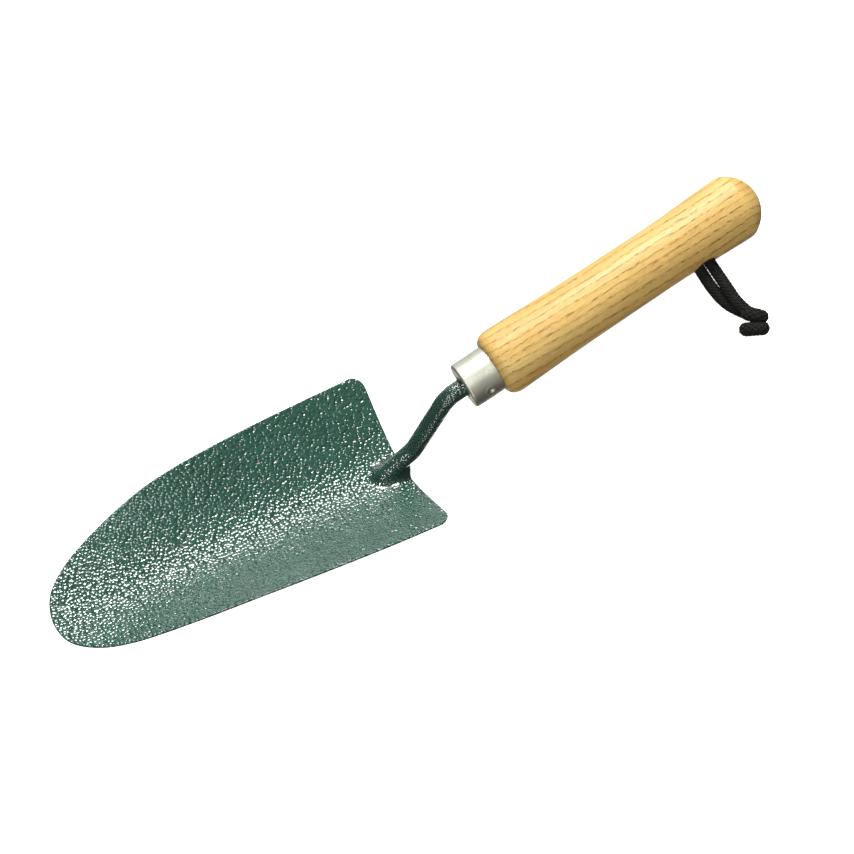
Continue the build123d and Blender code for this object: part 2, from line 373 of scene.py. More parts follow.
# ------------------------------------------------------------------ hammered relief
def pebbles(t, position, cell, curve, side, wander=0.0006):
    """Round, close-set pebbles of the enamel at a position in metres: their height in metres, up to 0 on top.
    The cell's width and the pebbles' radius of curvature are in mm, and side is how fast they steepen."""
    wob = noise(t, position, scale=280.0, detail=1.0, color=True)
    moved = vec_math(t, "ADD", position, vec_math(t, "SCALE", vec_math(t, "SUBTRACT", wob, (0.5, 0.5, 0.5)), scale=wander))
    d = voronoi(t, moved, 1000.0 / cell, "SMOOTH_F1", smoothness=0.10, randomness=0.85)
    r2 = math_node(t, "MULTIPLY", math_node(t, "MULTIPLY", d, d), cell * cell)
    # flatter on top, steeper down the sides
    low = math_node(t, "ADD", math_node(t, "MULTIPLY", r2, 0.5 / curve),
                    math_node(t, "MULTIPLY", math_node(t, "MULTIPLY", r2, r2), side))
    return math_node(t, "MULTIPLY", low, -0.001)


def relief_group(name, amplitude_mm):
    g = bpy.data.node_groups.new(name, "GeometryNodeTree")
    g.interface.new_socket(name="Geometry", in_out="INPUT", socket_type="NodeSocketGeometry")
    g.interface.new_socket(name="Geometry", in_out="OUTPUT", socket_type="NodeSocketGeometry")
    gi, go = g.nodes.new("NodeGroupInput"), g.nodes.new("NodeGroupOutput")
    pos = g.nodes.new("GeometryNodeInputPosition").outputs[0]
    nor = g.nodes.new("GeometryNodeInputNormal").outputs[0]
    h = noise(g, pos, scale=420.0, detail=1.0)
    h = math_node(g, "MULTIPLY", math_node(g, "SUBTRACT", h, 0.5), amplitude_mm * MM)
    sp = g.nodes.new("GeometryNodeSetPosition")
    g.links.new(gi.outputs[0], sp.inputs["Geometry"])
    g.links.new(vec_math(g, "SCALE", nor, scale=h), sp.inputs["Offset"])
    g.links.new(sp.outputs[0], go.inputs[0])
    return g


def add_relief(obj, group):
    m = obj.modifiers.new("relief", "NODES")
    m.node_group = group
    bake_modifiers(obj)


# ------------------------------------------------------------------ materials
def green_enamel(name, cell, curve, side, sway, painted_shade=1.0):
    """Glossy hammered enamel: the width, curvature and steepness of its pebbles and the sway of the coat. The last
    number darkens the whole colour as painted shade.
    """
    m, t, b = new_material(name)
    p = object_coords(t)
    h = pebbles(t, p, cell, curve, side)
    fine = noise(t, p, scale=1300.0, detail=2.0)
    patch = noise(t, p, scale=60.0, detail=4.0, rough=0.65)
    wave = noise(t, p, scale=330.0, detail=2.0, rough=0.5)
    # painted shade: the colour darkens towards the low ground between the pebbles' tops
    painted_hollow_shade = map_range(t, h, -0.00022, -0.00008, 1.0, 0.0)
    col = mix(t, map_range(t, patch, 0.35, 0.65, 0.0, 1.0), tuple(painted_shade * x for x in (0.0190, 0.0820, 0.0560)), tuple(painted_shade * x for x in (0.0270, 0.1030, 0.0720)))
    col = mix(t, math_node(t, "MULTIPLY", painted_hollow_shade, 0.45), col, (0.0050, 0.0300, 0.0210))
    put(t, b.inputs["Base Color"], col)
    put(t, b.inputs["Roughness"], map_range(t, fine, 0.3, 0.7, 0.16, 0.24))
    b.inputs["Specular IOR Level"].default_value = 0.45
    b.inputs["Coat Weight"].default_value = 1.0
    b.inputs["Coat Roughness"].default_value = 0.045
    b.inputs["Coat IOR"].default_value = 1.65
    n = bump(t, wave, sway * MM, 1.0)
    n = bump(t, h, 1.0, 1.0, n)
    put(t, b.inputs["Normal"], n)
    put(t, b.inputs["Coat Normal"], n)
    return m


def zinc():
    m, t, b = new_material("satin_zinc")
    p = object_coords(t)
    q = mapping(t, p, rotation=(0, -REST_PITCH, 0), scale=(1, 1, 1))
    streak = noise(t, mapping(t, q, scale=(3200.0, 160.0, 160.0)), scale=1.0, detail=3.0)
    cloud = noise(t, p, scale=380.0, detail=3.0, rough=0.6)
    col = mix(t, map_range(t, cloud, 0.35, 0.7, 0.0, 1.0), (0.67, 0.67, 0.585), (0.53, 0.535, 0.445))
    put(t, b.inputs["Base Color"], col)
    b.inputs["Metallic"].default_value = 1.0
    put(t, b.inputs["Roughness"], map_range(t, cloud, 0.3, 0.7, 0.42, 0.54))
    n = bump(t, streak, 0.000012, 0.5)
    n = bump(t, cloud, 0.00007, 0.5, n)
    put(t, b.inputs["Normal"], n)
    return m


def ash():
    m, t, b = new_material("lacquered_ash")
    p = object_coords(t)
    back = turn_y(-SHIFT * MM, -REST_PITCH)
    q = mapping(t, p, location=tuple(float(x) for x in back), rotation=(0, -REST_PITCH, 0))
    # x along the grain, y across the growth rings
    g = mapping(t, q, rotation=(math.radians(152.2), 0, 0))
    sep = t.nodes.new("ShaderNodeSeparateXYZ")
    put(t, sep.inputs[0], g)
    gx, gy = sep.outputs[0], sep.outputs[1]
    # the rings run down towards the butt, then level out
    sweep = math_node(t, "MULTIPLY", math_node(t, "SUBTRACT", 1.0, math_node(
        t, "EXPONENT", math_node(t, "MULTIPLY", gx, -16.0))), 0.0050)
    warp = noise(t, mapping(t, g, scale=(16.0, 70.0, 40.0)), scale=1.0, detail=2.0)
    warp2 = noise(t, mapping(t, g, scale=(90.0, 260.0, 260.0)), scale=1.0, detail=2.0)
    ring = math_node(t, "SUBTRACT", gy, sweep)
    ring = math_node(t, "ADD", ring, math_node(t, "MULTIPLY", math_node(t, "SUBTRACT", warp, 0.5), 0.0042))
    ring = math_node(t, "ADD", ring, math_node(t, "MULTIPLY", math_node(t, "SUBTRACT", warp2, 0.5), 0.0007))
    f = math_node(t, "FRACT", math_node(t, "MULTIPLY", ring, 1.0 / 0.0029))
    early = ramp(t, f, [(0.0, 0.25), (0.05, 1.0), (0.20, 0.80), (0.36, 0.15), (0.93, 0.0), (1.0, 0.25)], "EASE")
    # vessels: short dark dashes along the grain, crowded at each ring's start
    along = mapping(t, g, scale=(430.0, 3900.0, 3900.0))
    dash = noise(t, along, scale=1.0, detail=1.0, rough=0.4)
    long_dash = noise(t, mapping(t, g, scale=(210.0, 3600.0, 3600.0)), scale=1.0, detail=2.0, rough=0.55)
    fibre = noise(t, mapping(t, g, scale=(32.0, 2600.0, 2600.0)), scale=1.0, detail=3.0, rough=0.65)
    dark = map_range(t, dash, 0.57, 0.64, 0.0, 1.0, smooth=True)
    dark2 = map_range(t, long_dash, 0.545, 0.61, 0.0, 1.0, smooth=True)
    vessels = math_node(t, "MAXIMUM", dark, dark2)
    amount = math_node(t, "MULTIPLY", vessels, math_node(t, "ADD", math_node(t, "MULTIPLY", early, 0.80), 0.20))
    tone = noise(t, mapping(t, g, scale=(14.0, 90.0, 90.0)), scale=1.0, detail=3.0, rough=0.55)
    base = ramp(t, tone, [(0.30, (0.690, 0.442, 0.130)), (0.52, (0.780, 0.530, 0.172)), (0.72, (0.850, 0.625, 0.232))])
    base = mix(t, math_node(t, "MULTIPLY", early, 0.36), base, (0.520, 0.300, 0.080))
    base = mix(t, map_range(t, fibre, 0.35, 0.70, 0.0, 0.40), base, (0.500, 0.285, 0.075))
    col = mix(t, math_node(t, "MULTIPLY", amount, 1.0), base, (0.215, 0.110, 0.028))
    # the wood is darker in and close round the cross hole
    axis = Vector(HOLE_DIR)
    c = vec_math(t, "SUBTRACT", q, (HOLE_X * MM, 0.0, HOLE_Z * MM))
    across = vec_math(t, "CROSS_PRODUCT", c, tuple(axis))
    near = map_range(t, vec_math(t, "LENGTH", across), 0.0050, 0.0066, 0.75, 0.0, smooth=True)
    col = mix(t, near, col, (0.120, 0.045, 0.018))
    put(t, b.inputs["Base Color"], col)
    put(t, b.inputs["Roughness"], map_range(t, fibre, 0.3, 0.7, 0.46, 0.60))
    b.inputs["Specular IOR Level"].default_value = 0.4
    b.inputs["Coat Weight"].default_value = 0.12
    b.inputs["Coat Roughness"].default_value = 0.34
    n = bump(t, math_node(t, "SUBTRACT", 1.0, amount), 0.00008, 0.6)
    n = bump(t, fibre, 0.00004, 0.4, n)
    put(t, b.inputs["Normal"], n)
    return m


def black_cord():
    m, t, b = new_material("black_braid")
    p = object_coords(t)
    fuzz = noise(t, p, scale=2600.0, detail=3.0, rough=0.6)
    patch = noise(t, p, scale=500.0, detail=2.0)
    col = mix(t, map_range(t, fuzz, 0.35, 0.75, 0.0, 1.0), (0.0030, 0.0032, 0.0032), (0.0130, 0.0135, 0.0125))
    col = mix(t, map_range(t, patch, 0.45, 0.7, 0.0, 0.5), col, (0.018, 0.0185, 0.0165))
    put(t, b.inputs["Base Color"], col)
    b.inputs["Roughness"].default_value = 0.75
    b.inputs["Specular IOR Level"].default_value = 0.22
    b.inputs["Sheen Weight"].default_value = 0.03
    b.inputs["Sheen Roughness"].default_value = 0.5
    put(t, b.inputs["Normal"], bump(t, fuzz, 0.00012, 0.7))
    return m


def floor_material():
    m, t, b = new_material("pale_floor")
    p = object_coords(t)
    n = noise(t, p, scale=3.0, detail=2.0)
    put(t, b.inputs["Base Color"], mix(t, n, (0.90, 0.90, 0.90), (0.93, 0.93, 0.925)))
    b.inputs["Roughness"].default_value = 0.9
    b.inputs["Specular IOR Level"].default_value = 0.1
    b.inputs["Emission Color"].default_value = (1.0, 1.0, 1.0, 1.0)
    b.inputs["Emission Strength"].default_value = 0.92
    return m


GREEN = green_enamel("hammered_green_enamel", 1.40, 2.2, 0.015, 0.012)
# the neck's enamel is the same paint with its colour darkened to 0.52: painted shade
GREEN_NECK_SHADED = green_enamel("smooth_green_enamel", 1.2, 2.6, 0.020, 0.060, 0.52)
ZINC, ASH, BLACK = zinc(), ash(), black_cord()


# ------------------------------------------------------------------ cord
def frames_along(line):
    """Unit tangents and a pair of sideways vectors that don't twist, at each point of a line."""
    tan = np.gradient(line, axis=0)
    tan /= np.linalg.norm(tan, axis=1)[:, None]
    a = np.cross(tan[0], (0.0, 0.0, 1.0))
    if np.linalg.norm(a) < 0.1:
        a = np.cross(tan[0], (0.0, 1.0, 0.0))
    side = [a / np.linalg.norm(a)]
    for k in range(1, len(line)):
        v = side[-1] - tan[k] * (side[-1] @ tan[k])
        side.append(v / np.linalg.norm(v))
    side = np.array(side)
    return tan, side, np.cross(tan, side)


def tube_mesh(line, radius, n_around, side, up, taper=None):
    """Points and quads of a capped tube with the given radii (one number, or one for each point)."""
    rings, faces = [], []
    th = np.arange(n_around) * 2 * math.pi / n_around
    radius = np.broadcast_to(radius, (len(line),))
    for k in range(len(line)):
        rings.append(line[k] + radius[k] * (np.cos(th)[:, None] * side[k] + np.sin(th)[:, None] * up[k]))
    verts = np.concatenate(rings)
    for k in range(len(line) - 1):
        for i in range(n_around):
            j = (i + 1) % n_around
            faces.append((k * n_around + i, k * n_around + j, (k + 1) * n_around + j, (k + 1) * n_around + i))
    faces.append(tuple(range(n_around))[::-1])
    last = (len(line) - 1) * n_around
    faces.append(tuple(range(last, last + n_around)))
    return verts, faces


def braided(line, diameter, squeeze=None, carriers=8, lay=13.0, seed=0):
    """A braided cord along a line, in mm: two families of flat strands that weave over and under each other, on a core.
    squeeze gives the (across, up) scale of the section at each share of the length."""
    line = resampled(line, 0.32)
    tan, side, up = frames_along(line)
    s = np.concatenate([[0], np.cumsum(np.linalg.norm(np.diff(line, axis=0), axis=1))])
    rng = np.random.default_rng(seed)
    share = s / s[-1]
    sq = np.array([squeeze(x) for x in share]) if squeeze else np.ones((len(line), 2))
    thick = 0.42
    mid = diameter / 2 - 0.26
    verts, faces = [], []

    def add(v, f):
        start = sum(len(x) for x in verts)
        verts.append(v)
        faces.extend([tuple(i + start for i in q) for q in f])

    core_v, core_f = tube_mesh(line, mid + 0.10, 20, side * sq[:, :1], up * sq[:, 1:])
    add(core_v, core_f)
    w = 2 * math.pi / lay
    wide = 2 * math.pi * (diameter / 2) / carriers * 0.5
    th = np.arange(6) * 2 * math.pi / 6
    for sign in (1, -1):
        for j in range(carriers):
            slack = rng.uniform(-0.05, 0.05)
            ang = sign * w * s + 2 * math.pi * j / carriers + 0.05 * np.sin(s * 0.9 + j * 1.7)
            rho = mid + 0.20 + sign * 0.17 * np.cos(carriers * w * s) + slack * np.sin(s * 0.7 + j)
            out = np.cos(ang)[:, None] * side * sq[:, :1] + np.sin(ang)[:, None] * up * sq[:, 1:]
            centre = line + rho[:, None] * out
            dirn = np.gradient(centre, axis=0)
            dirn /= np.linalg.norm(dirn, axis=1)[:, None]
            o = out / np.linalg.norm(out, axis=1)[:, None]
            o = o - dirn * (o * dirn).sum(1)[:, None]
            o /= np.linalg.norm(o, axis=1)[:, None]
            wv = np.cross(dirn, o)
            rings = [centre[k] + 0.42 * wide * np.cos(th)[:, None] * wv[k] + 0.62 * thick * np.sin(th)[:, None] * o[k]
                     for k in range(len(line))]
            f = []
            for k in range(len(line) - 1):
                for i in range(6):
                    q = (i + 1) % 6
                    f.append((k * 6 + i, k * 6 + q, (k + 1) * 6 + q, (k + 1) * 6 + i))
            f.append((5, 4, 3, 2, 1, 0))
            last = (len(line) - 1) * 6
            f.append(tuple(range(last, last + 6)))
            add(np.concatenate(rings), f)
    return np.concatenate(verts), faces, line


def spline_line(name, points_mm):
    """The smooth line of a NURBS spline with these control points, in mm."""
    c = bpy.data.curves.new(name, "CURVE")
    c.dimensions = "3D"
    c.resolution_u = 24
    sp = c.splines.new("NURBS")
    sp.points.add(len(points_mm) - 1)
    for q, p in zip(sp.points, points_mm):
        q.co = (p[0] * MM, p[1] * MM, p[2] * MM, 1.0)
    sp.order_u = 3
    sp.use_endpoint_u = True
    obj = bpy.data.objects.new(name, c)
    mesh = bpy.data.meshes.new_from_object(obj)
    line = np.array([v.co for v in mesh.vertices], float).reshape(-1, 3)
    bpy.data.objects.remove(obj)
    bpy.data.curves.remove(c)
    bpy.data.meshes.remove(mesh)
    return line / MM


fore_line = spline_line("fore_route", LEG_FORE)
aft_line = spline_line("aft_route", LEG_AFT)
v, f, fore_path = braided(fore_line, CORD_D, lambda x: (1.0, 1.0), seed=1)
cord_fore = make("cord_fore_braid", v, f, BLACK, ["cord_leg_fore"])
v, f, aft_path = braided(aft_line, CORD_D, lambda x: (1.0, 1.0), seed=2)
cord_aft = make("cord_aft_braid", v, f, BLACK, ["cord_leg_aft"])

# the fold inside the far end of the hole
f0, f1 = np.array(LEG_FORE[0]), np.array(LEG_AFT[0])
into = np.array(LEG_FORE[0]) - np.array(LEG_FORE[1])
ax = (f1 - f0) / np.linalg.norm(f1 - f0)
into -= ax * (into @ ax)
into /= np.linalg.norm(into)
half = np.linalg.norm(f1 - f0) / 2
arc = np.array([(f0 + f1) / 2 - ax * half * math.cos(a) + into * half * 0.97 * math.sin(a)
                for a in np.linspace(-0.05, math.pi + 0.05, 40)])
v, f, _ = braided(arc, CORD_D - 0.06, seed=3)
fold = make("cord_fold_braid", v, f, BLACK, ["cord_fold"])

# the knot: two snug turns round the legs, and the core that they grip
KA = np.array([-0.737, -0.676, -0.06])
KA /= np.linalg.norm(KA)
KL = np.array([0.734, -0.679, 0.0])
KU = np.cross(KL, KA)
KU = KU if KU[2] > 0 else -KU


def turn(centre, along, tall, tilt, lift, start=0.0, sweep=2 * math.pi, n=80):
    a = np.linspace(start, start + sweep, n)
    c = np.array(centre)
    return np.array([c + KL * along * math.cos(x) + KU * tall * math.sin(x)
                     + KA * (tilt * math.sin(x + lift)) for x in a])


knot_v, knot_f = [], []


def knot_add(v, f):
    start = sum(len(x) for x in knot_v)
    knot_v.append(v)
    knot_f.extend([tuple(i + start for i in q) for q in f])


for line, d, seed in (
        (turn((126.4, -40.3, 6.3), 2.7, 2.7, 1.1, 0.6, 0.3, 2 * math.pi + 0.2), 5.0, 4),
        (turn((122.9, -44.4, 5.1), 3.2, 2.2, 0.9, -0.4, 0.9, 2 * math.pi + 0.2), 4.9, 5)):
    v, f, _ = braided(line, d, seed=seed)
    knot_add(v, f)
core = np.array([(126.7, -39.0, 5.2), (126.0, -41.8, 5.4), (124.5, -43.5, 5.2), (122.7, -45.1, 5.0), (122.0, -46.1, 4.6)])
v, f, _ = braided(core, 4.4, seed=6)
knot_add(v, f)
cord_knot = make("cord_knot_braid", np.concatenate(knot_v), knot_f, BLACK, ["cord_knot"])



# ------------------------------------------------------------------ blade
RIM_R = 0.55


def blade_outline(step):
    """The blade's outline seen square to the channel: closed points (u, y), evenly spaced."""
    side = [(-REAR_SWEEP, HALF_W[0][1] + 0.1)] + [(u, w) for u, w in HALF_W[1:]]
    pts = side + [(BLADE_LEN, 0.0)] + [(u, -w) for u, w in side[::-1]]
    p = np.array(pts, float)
    s = np.concatenate([[0], np.cumsum(np.linalg.norm(np.diff(p, axis=0), axis=1))])
    c = Curve(s, p)
    long = c(np.linspace(0, s[-1], 4001))
    up_side = long[:2001][np.argsort(long[:2001, 0])]
    half_w = lambda u: np.interp(u, up_side[:, 0], up_side[:, 1])
    half_chord = HALF_W[0][1] + 0.1
    big = (half_chord**2 + REAR_SWEEP**2) / (2 * REAR_SWEEP)
    # the corner's circle touches the side and the rear arc
    u = 6.4
    for _ in range(30):
        slope = (half_w(u + 0.5) - half_w(u - 0.5))
        y = half_w(u) - CORNER_R * math.sqrt(1 + slope * slope)
        u = math.sqrt((big + CORNER_R) ** 2 - y * y) - big
    cu, cy = u, y
    on_rear = np.array([-big, 0.0]) + (np.array([cu + big, cy])) * big / (big + CORNER_R)
    on_side = np.array([cu - slope * CORNER_R, cy + CORNER_R]) - 0.0
    a0 = math.atan2(on_rear[1] - cy, on_rear[0] - cu)
    a1 = math.atan2(CORNER_R, -slope * CORNER_R * 1.0)
    a0 = a0 if a0 > 0 else a0 + 2 * math.pi
    corner = np.array([(cu + CORNER_R * math.cos(x), cy + CORNER_R * math.sin(x)) for x in np.linspace(a0, a1, 60)])
    rear_y = np.linspace(0, on_rear[1], 200)[:-1]
    rear = np.stack([-big + np.sqrt(big**2 - rear_y**2), rear_y], 1)
    sides = long[:2001]
    sides = sides[sides[:, 0] > corner[-1, 0] + 0.05]
    half_line = np.vstack([rear, corner, sides])
    # the near rear corner sits a little further forward and in
    q = half_line[:, 1] / half_chord
    fade = np.clip(1 - half_line[:, 0] / NEAR_FADE, 0, 1) ** 2
    near = np.stack([half_line[:, 0] + NEAR_FORWARD * q * q * fade, -half_line[:, 1] * (1 - NEAR_IN / half_chord * fade)], 1)
    full = np.vstack([half_line, near[::-1][1:-1]])
    out = resampled(full, step, closed=True)
    return out


def normals_2d(p):
    d = np.roll(p, -1, 0) - np.roll(p, 1, 0)
    d /= np.linalg.norm(d, axis=1)[:, None]
    return np.stack([d[:, 1], -d[:, 0]], 1)


def inside_2d(points, poly):
    x, y = points[:, 0], points[:, 1]
    inside = np.zeros(len(points), bool)
    x0, y0 = poly[:, 0], poly[:, 1]
    x1, y1 = np.roll(x0, -1), np.roll(y0, -1)
    for k in range(len(poly)):
        if y0[k] == y1[k]:
            continue
        hit = ((y0[k] > y) != (y1[k] > y)) & (x < (x1[k] - x0[k]) * (y - y0[k]) / (y1[k] - y0[k]) + x0[k])
        inside ^= hit
    return inside


def build_blade():
    rim = blade_outline(0.50)
    out_n = normals_2d(rim)
    centre = rim.mean(0)
    if ((rim - centre) * out_n).sum() < 0:
        out_n = -out_n
    inset = rim - out_n * RIM_R
    n = len(rim)

    def fill(step, seed):
        rng = np.random.default_rng(seed)
        keep_in = rim - out_n * (RIM_R + step * 0.62)
        rows = np.arange(-42, 42, step * math.sqrt(3) / 2)
        pts = np.concatenate([np.stack([np.arange(-4, 153, step) + (k % 2) * step / 2,
                                        np.full(len(np.arange(-4, 153, step)), y)], 1) for k, y in enumerate(rows)])
        pts += rng.uniform(-0.12, 0.12, pts.shape) * step
        pts = pts[inside_2d(pts, keep_in)]
        every = np.vstack([inset, pts])
        edges = [(i, (i + 1) % n) for i in range(n)]
        vs, _, fs, orig, _, _ = delaunay_2d_cdt([tuple(x) for x in every], edges, [], 1, 1e-7)
        order = np.array([o[0] if o else -1 for o in orig])
        return np.array([tuple(x) for x in vs]), np.array([tuple(x) for x in fs]), order

    verts, faces = [], []

    def thickness(u, y):
        su, sy = hollow_slope(u, y)
        return SHEET * np.sqrt(1 + su * su + sy * sy)

    def top(p, depth):
        """Points under the hollow side by a share of the sheet's thickness, blade frame."""
        u, y = p[:, 0], p[:, 1]
        return np.stack([-u, y, hollow(u, y) - depth * thickness(u, y)], 1)

    def add(v):
        start = sum(len(x) for x in verts)
        verts.append(v)
        return start

    # hollow side
    p, fs, order = fill(0.46, 1)
    loop_of = {int(o): i for i, o in enumerate(order) if 0 <= o < n}
    start = add(top(p, 0.0))
    a, b, c = p[fs[:, 0]], p[fs[:, 1]], p[fs[:, 2]]
    area = (b[:, 0] - a[:, 0]) * (c[:, 1] - a[:, 1]) - (b[:, 1] - a[:, 1]) * (c[:, 0] - a[:, 0])
    fs = fs.copy()
    fs[area > 0] = fs[area > 0][:, ::-1]  # x is -u, so the turn is the other way round
    faces.append(fs + start)
    first = np.array([loop_of[i] for i in range(n)]) + start
    # back
    p, fb, order = fill(0.62, 2)
    loop_of = {int(o): i for i, o in enumerate(order) if 0 <= o < n}
    start = add(top(p, 1.0))
    a, b, c = p[fb[:, 0]], p[fb[:, 1]], p[fb[:, 2]]
    area = (b[:, 0] - a[:, 0]) * (c[:, 1] - a[:, 1]) - (b[:, 1] - a[:, 1]) * (c[:, 0] - a[:, 0])
    fb = fb.copy()
    fb[area < 0] = fb[area < 0][:, ::-1]
    faces.append(fb + start)
    last = np.array([loop_of[i] for i in range(n)]) + start
    # rim: a rounded edge
    steps = [(RIM_R * (1 - math.sin(x)), RIM_R * (1 - math.cos(x))) for x in np.linspace(0, math.pi / 2, 5)[1:]]
    steps += [(0.0, SHEET / 2)]
    steps += [(d, SHEET - z) for d, z in steps[-2::-1]]
    loops = [first]
    for d, z in steps:
        q = rim - out_n * d
        loops.append(np.arange(n) + add(top(q, z / SHEET)))
    loops.append(last)
    nxt = np.roll(np.arange(n), -1)
    turn_sign = np.cross(rim[nxt] - rim, out_n).sum()
    for a_, b_ in zip(loops[:-1], loops[1:]):
        quad = np.stack([a_, a_[nxt], b_[nxt], b_], 1)
        faces.append(quad if turn_sign < 0 else quad[:, ::-1])
    verts_h = blade_to_handle(np.concatenate(verts))
    polys = []
    for g in faces:
        polys += g.tolist()
    return place(verts_h), polys


v, f = build_blade()
blade = make("blade_enamelled", v, f, GREEN, ["blade"])
relief_fine = relief_group("relief_fine", 0.10)
add_relief(blade, relief_fine)
finish_piece(blade, GREEN)


# ------------------------------------------------------------------ neck, with its weld and its tang
def neck_centreline():
    """The bar's centreline in the handle's XZ plane, from the tang's end to the foot."""
    p = [np.array((TANG_END_X, 0.0)), np.array(CRANK_TOP), np.array(CRANK_FOOT), np.array(BAR_END)]
    line = [p[0]]
    for i, r in ((1, CRANK_TOP_R), (2, CRANK_FOOT_R)):
        a, b = p[i] - p[i - 1], p[i + 1] - p[i]
        a, b = a / np.linalg.norm(a), b / np.linalg.norm(b)
        turn_ = math.acos(float(a @ b))
        cut = r * math.tan(turn_ / 2)
        s, e = p[i] - a * cut, p[i] + b * cut
        nrm = b - a * (a @ b)
        nrm /= np.linalg.norm(nrm)
        c = s + nrm * r
        line.append(s)
        for k in range(1, 24):
            x = turn_ * k / 24
            line.append(c - nrm * r * math.cos(x) + a * r * math.sin(x))
        line.append(e)
    line.append(p[-1])
    return resampled(np.array(line), 0.25)


def surface_nets(f, origin, step):
    """The zero surface of a grid of signed distances, as points and quads."""
    shape = np.array(f.shape)
    cells = tuple(shape - 1)
    total = np.zeros(cells + (3,))
    count = np.zeros(cells)
    neg = f < 0
    edges = []
    for axis in range(3):
        lo = [slice(None)] * 3
        hi = [slice(None)] * 3
        lo[axis], hi[axis] = slice(None, -1), slice(1, None)
        fa, fb = f[tuple(lo)], f[tuple(hi)]
        cross = neg[tuple(lo)] != neg[tuple(hi)]
        t = np.where(cross, fa / np.where(cross, fa - fb, 1.0), 0.0)
        o1, o2 = [k for k in range(3) if k != axis]
        for d1 in (0, 1):
            for d2 in (0, 1):
                sl = [slice(None)] * 3
                sl[o1] = slice(d1, shape[o1] - 1 + d1)
                sl[o2] = slice(d2, shape[o2] - 1 + d2)
                c = cross[tuple(sl)]
                count += c
                total[..., axis] += np.where(c, t[tuple(sl)], 0.0)
                total[..., o1] += np.where(c, d1, 0.0)
                total[..., o2] += np.where(c, d2, 0.0)
        edges.append((axis, o1, o2, cross, neg[tuple(lo)]))
    used = count > 0
    index = -np.ones(cells, int)
    index[used] = np.arange(used.sum())
    at = np.argwhere(used)
    points = (at + total[used] / count[used][:, None]) * step + origin
    quads = []
    for axis, o1, o2, cross, inside in edges:
        c = cross.copy()
        for o in (o1, o2):
            sl = [slice(None)] * 3
            sl[o] = 0
            c[tuple(sl)] = False
            sl[o] = -1
            c[tuple(sl)] = False
        e = np.argwhere(c)
        corner = []
        for d1, d2 in ((-1, -1), (0, -1), (0, 0), (-1, 0)):
            q = e.copy()
            q[:, o1] += d1
            q[:, o2] += d2
            corner.append(index[tuple(q.T)])
        q = np.stack(corner, 1)
        ins = inside[tuple(e.T)]
        even = axis != 1
        flip = ins if even else ~ins
        q[~flip] = q[~flip][:, ::-1]
        quads.append(q)
    return points, np.concatenate(quads)


def smooth_min(a, b, k):
    h = np.clip(0.5 + 0.5 * (b - a) / k, 0, 1)
    return b * (1 - h) + a * h - k * h * (1 - h)


def build_neck():
    line = neck_centreline()
    near = line[line[:, 0] < -8]
    step = 0.32
    xs = np.arange(-68.0, -10.6, step)
    ys = np.arange(-12.8, 12.9, step)
    zs = np.arange(-33.0, 5.2, step)
    gx, gz = np.meshgrid(xs, zs, indexing="ij")
    flat = np.stack([gx.ravel(), gz.ravel()], 1)
    rho = np.full(len(flat), 1e9)
    a, b = near[:-1], near[1:]
    for k in range(len(a)):
        d = b[k] - a[k]
        t = np.clip((flat - a[k]) @ d / (d @ d), 0, 1)
        rho = np.minimum(rho, ((flat - a[k] - t[:, None] * d) ** 2).sum(1))
    rho2 = rho.reshape(gx.shape)[:, None, :]
    X, Y, Z = np.meshgrid(xs, ys, zs, indexing="ij")
    d_bar = np.sqrt(rho2 + Y**2) - BAR_D / 2
    pb = handle_to_blade(np.stack([X, Y, Z], -1))
    u, y, h = -pb[..., 0], pb[..., 1], pb[..., 2]
    su, sy = hollow_slope(u, y)
    d_top = (h - hollow(u, y)) / np.sqrt(1 + su * su + sy * sy)
    big = ((HALF_W[0][1] + 0.1) ** 2 + REAR_SWEEP**2) / (2 * REAR_SWEEP)
    d_rear = -(np.sqrt((u + big) ** 2 + y * y) - big)
    d_blade = np.maximum(d_top + 0.14, d_rear + 0.30)
    d_blade = np.maximum(d_blade, -(d_top + 0.9))
    # the weld is a soft fillet
    w = np.stack([(u - 4.6) / WELD[0], y / WELD[1], (h - 0.4) / WELD[2]], -1)
    d_weld = (np.linalg.norm(w, axis=-1) - 1) * 3.2
    f = smooth_min(d_bar, d_weld, 1.8)
    f = smooth_min(f, d_blade, 2.6)
    f = np.maximum(f, smooth_min(d_bar, d_weld, 1.8) - 3.0)
    f = np.maximum(f, -(d_top + 0.75) - 0 * d_bar)
    f = np.maximum(f, X + 11.4)
    f = np.maximum(f, -(X + 67.5))
    pts, quads = surface_nets(f, np.array([xs[0], ys[0], zs[0]]), step)
    prof = [(-12.6, 0.0), (-12.6, TANG_D / 2 - 0.2), (-12.4, TANG_D / 2)]
    prof += [(x, TANG_D / 2) for x in np.linspace(-12, TANG_END_X - 1.5, 24)]
    prof += [(TANG_END_X, TANG_D / 2 - 1.2), (TANG_END_X, 0.0)]
    tv, tf = lathe(prof, 48)
    faces = quads.tolist() + [tuple(i + len(pts) for i in q) for q in tf]
    return place(np.vstack([pts, tv])), faces


v, f = build_neck()
neck = make("neck_enamelled", v, f, GREEN_NECK_SHADED, ["neck_and_tang", "weld"])
sm = neck.modifiers.new("even", "CORRECTIVE_SMOOTH")
sm.iterations, sm.factor, sm.use_only_smooth = 6, 0.5, True
bake_modifiers(neck)
add_relief(neck, relief_group("relief_neck", 0.16))
finish_piece(neck, GREEN_NECK_SHADED, sharp=60)


